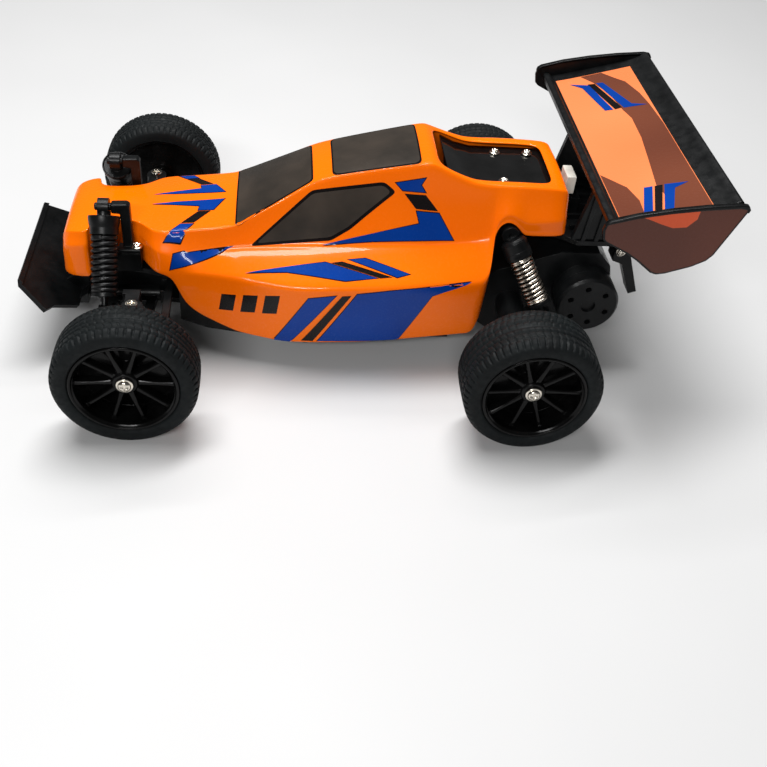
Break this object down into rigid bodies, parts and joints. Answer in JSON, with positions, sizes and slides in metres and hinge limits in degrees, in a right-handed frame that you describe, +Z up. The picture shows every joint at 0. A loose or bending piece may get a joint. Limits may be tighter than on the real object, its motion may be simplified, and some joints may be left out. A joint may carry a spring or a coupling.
{
  "type": "remote control car",
  "caption": "Remote control off-road racing car with a lift-off orange shell, sprung steering front wheels, a geared rear axle and a high rear wing.",
  "frame": {"origin": "on the ground under the middle of the car's outline", "axes": "+X forwards to the bumper, +Y to the car's left, +Z up"},
  "size_m": [0.323, 0.2096, 0.122],
  "materials": {
    "shell_orange": "glossy",
    "chassis_black": "satin",
    "gloss_black": "glossy",
    "rim_black": "glossy",
    "tyre_rubber": "matte",
    "bright_steel": "polished",
    "spring_steel": "satin",
    "black_spring": "satin",
    "board_green": "satin",
    "battery_wrap": "satin",
    "socket_white": "satin",
    "gear_nylon": "satin",
    "wing_film": "mirror-like film",
    "brass": "satin"
  },
  "bodies": {
    "chassis": {"chassis_tub": "chassis_black", "battery_door": "chassis_black", "battery_pack": "battery_wrap", "circuit_board": "board_green", "steering_servo": "chassis_black", "front_bulkhead": "chassis_black", "front_bumper": "chassis_black", "front_tower_left": "chassis_black", "front_tower_right": "chassis_black", "rear_frame": "chassis_black", "rear_deck": "gloss_black", "charge_socket": "socket_white", "wing_struts": "chassis_black", "wing_blade": "chassis_black", "wing_end_plate_left": "wing_film", "wing_end_plate_right": "wing_film", "suspension_pins": "spring_steel", "case_screws": "bright_steel"},
    "shell": {"body_shell": "shell_orange"},
    "left_arm": {"front_arm_left": "chassis_black", "kingpin_left": "bright_steel"},
    "right_arm": {"front_arm_right": "chassis_black", "kingpin_right": "bright_steel"},
    "left_knuckle": {"knuckle_left": "chassis_black"},
    "right_knuckle": {"knuckle_right": "chassis_black"},
    "front_left_wheel": {"rim_front_left": "rim_black", "tyre_front_left": "tyre_rubber", "wheel_screw_front_left": "bright_steel"},
    "front_right_wheel": {"rim_front_right": "rim_black", "tyre_front_right": "tyre_rubber", "wheel_screw_front_right": "bright_steel"},
    "tie_rod": {"tie_rod": "chassis_black"},
    "servo_arm": {"servo_arm": "chassis_black"},
    "rear_drive": {"gearbox_case": "chassis_black", "gearbox_cover": "chassis_black", "motor": "spring_steel", "motor_cap": "chassis_black", "rear_bushes": "brass"},
    "rear_axle": {"rear_axle": "spring_steel", "axle_gear": "gear_nylon", "rim_rear_left": "rim_black", "rim_rear_right": "rim_black", "tyre_rear_left": "tyre_rubber", "tyre_rear_right": "tyre_rubber", "wheel_screws_rear": "bright_steel"},
    "idler_gear": {"idler_gear": "gear_nylon"},
    "motor_pinion": {"motor_pinion": "brass"},
    "power_switch": {"power_switch": "chassis_black"},
    "front_shock_body_left": {"front_shock_body_left": "chassis_black", "front_spring_left": "black_spring"},
    "front_shock_rod_left": {"front_shock_rod_left": "chassis_black"},
    "rear_shock_body_left": {"rear_shock_body_left": "chassis_black", "rear_spring_left": "spring_steel"},
    "rear_shock_rod_left": {"rear_shock_rod_left": "chassis_black"},
    "front_shock_body_right": {"front_shock_body_right": "chassis_black", "front_spring_right": "black_spring"},
    "front_shock_rod_right": {"front_shock_rod_right": "chassis_black"},
    "rear_shock_body_right": {"rear_shock_body_right": "chassis_black", "rear_spring_right": "spring_steel"},
    "rear_shock_rod_right": {"rear_shock_rod_right": "chassis_black"}
  },
  "joints": [
    {"name": "shell_lift", "type": "slide", "parent": "chassis", "child": "shell", "axis": [0, 0, 1], "range_m": [0, 0.06]},
    {"name": "power_switch_slide", "type": "slide", "parent": "chassis", "child": "power_switch", "axis": [1, 0, 0], "range_m": [0, 0.003]},
    {"name": "left_arm_swing", "type": "hinge", "parent": "chassis", "child": "left_arm", "pos_m": [0.1105, 0.017, 0.024], "axis": [1, 0, 0], "range_deg": [-6, 6], "stiffness_Nm_per_rad": 4},
    {"name": "right_arm_swing", "type": "hinge", "parent": "chassis", "child": "right_arm", "pos_m": [0.1105, -0.017, 0.024], "axis": [-1, 0, 0], "range_deg": [-6, 6], "stiffness_Nm_per_rad": 4},
    {"name": "left_steering", "type": "hinge", "parent": "left_arm", "child": "left_knuckle", "pos_m": [0.1052, 0.06, 0.0325], "axis": [0, 0, 1], "range_deg": [-25, 25]},
    {"name": "right_steering", "type": "hinge", "parent": "right_arm", "child": "right_knuckle", "pos_m": [0.1052, -0.06, 0.0325], "axis": [0, 0, 1], "range_deg": [-25, 25]},
    {"name": "tie_rod_slide", "type": "slide", "parent": "chassis", "child": "tie_rod", "axis": [0, 1, 0], "range_m": [-0.0065, 0.0065]},
    {"name": "servo_arm_turn", "type": "hinge", "parent": "chassis", "child": "servo_arm", "pos_m": [0.0775, 0, 0.038], "axis": [0, 0, 1], "range_deg": [-26, 26]},
    {"name": "front_left_wheel_spin", "type": "hinge", "parent": "left_knuckle", "child": "front_left_wheel", "pos_m": [0.1052, 0.09, 0.0325], "axis": [0, 1, 0], "continuous": true},
    {"name": "front_left_shock_lean", "type": "hinge", "parent": "chassis", "child": "front_shock_body_left", "pos_m": [0.1197, 0.0215, 0.0764], "axis": [1, 0, 0], "range_deg": [-1.41, 1.41]},
    {"name": "front_left_shock_stroke", "type": "slide", "parent": "front_shock_body_left", "child": "front_shock_rod_left", "axis": [0, 0.5764, -0.8171], "range_m": [-0.00374, 0.00374], "deforming": ["front_spring_left"]},
    {"name": "front_right_wheel_spin", "type": "hinge", "parent": "right_knuckle", "child": "front_right_wheel", "pos_m": [0.1052, -0.09, 0.0325], "axis": [0, 1, 0], "continuous": true},
    {"name": "front_right_shock_lean", "type": "hinge", "parent": "chassis", "child": "front_shock_body_right", "pos_m": [0.1197, -0.0215, 0.0764], "axis": [-1, 0, 0], "range_deg": [-1.41, 1.41]},
    {"name": "front_right_shock_stroke", "type": "slide", "parent": "front_shock_body_right", "child": "front_shock_rod_right", "axis": [0, -0.5764, -0.8171], "range_m": [-0.00374, 0.00374], "deforming": ["front_spring_right"]},
    {"name": "rear_drive_swing", "type": "hinge", "parent": "chassis", "child": "rear_drive", "pos_m": [-0.0565, 0, 0.03], "axis": [0, 1, 0], "range_deg": [-4, 4], "stiffness_Nm_per_rad": 8},
    {"name": "rear_axle_spin", "type": "hinge", "parent": "rear_drive", "child": "rear_axle", "pos_m": [-0.0782, 0, 0.0325], "axis": [0, 1, 0], "continuous": true},
    {"name": "idler_spin", "type": "hinge", "parent": "rear_drive", "child": "idler_gear", "pos_m": [-0.09661, 0, 0.04031], "axis": [0, 1, 0], "continuous": true},
    {"name": "pinion_spin", "type": "hinge", "parent": "rear_drive", "child": "motor_pinion", "pos_m": [-0.115, 0, 0.041], "axis": [0, 1, 0], "continuous": true},
    {"name": "rear_left_shock_lean", "type": "hinge", "parent": "chassis", "child": "rear_shock_body_left", "pos_m": [-0.0725, 0.03, 0.0735], "axis": [0.7758, 0.6179, -0.1275], "range_deg": [-1.88, 1.88]},
    {"name": "rear_left_shock_stroke", "type": "slide", "parent": "rear_shock_body_left", "child": "rear_shock_rod_left", "axis": [-0.4421, 0.3882, -0.8087], "range_m": [-0.00244, 0.00244], "deforming": ["rear_spring_left"]},
    {"name": "rear_right_shock_lean", "type": "hinge", "parent": "chassis", "child": "rear_shock_body_right", "pos_m": [-0.0725, -0.03, 0.0735], "axis": [-0.7758, 0.6179, 0.1275], "range_deg": [-1.88, 1.88]},
    {"name": "rear_right_shock_stroke", "type": "slide", "parent": "rear_shock_body_right", "child": "rear_shock_rod_right", "axis": [-0.4421, -0.3882, -0.8087], "range_m": [-0.00244, 0.00244], "deforming": ["rear_spring_right"]}
  ],
  "couplings": [
    {"joint": "right_steering", "follows": "left_steering", "ratio": 1},
    {"joint": "tie_rod_slide", "follows": "left_steering", "m_per_rad": -0.0137},
    {"joint": "servo_arm_turn", "follows": "left_steering", "ratio": -0.97857},
    {"joint": "front_left_shock_lean", "follows": "left_arm_swing", "ratio": 0.18463},
    {"joint": "front_left_shock_stroke", "follows": "left_arm_swing", "m_per_rad": -0.033849},
    {"joint": "front_right_shock_lean", "follows": "right_arm_swing", "ratio": 0.18463},
    {"joint": "front_right_shock_stroke", "follows": "right_arm_swing", "m_per_rad": -0.033849},
    {"joint": "idler_spin", "follows": "rear_axle_spin", "ratio": -3.1667},
    {"joint": "pinion_spin", "follows": "rear_axle_spin", "ratio": 11.4},
    {"joint": "rear_left_shock_lean", "follows": "rear_drive_swing", "ratio": 0.39379},
    {"joint": "rear_left_shock_stroke", "follows": "rear_drive_swing", "m_per_rad": -0.032149},
    {"joint": "rear_right_shock_lean", "follows": "rear_drive_swing", "ratio": 0.39379},
    {"joint": "rear_right_shock_stroke", "follows": "rear_drive_swing", "m_per_rad": -0.032149}
  ]
}
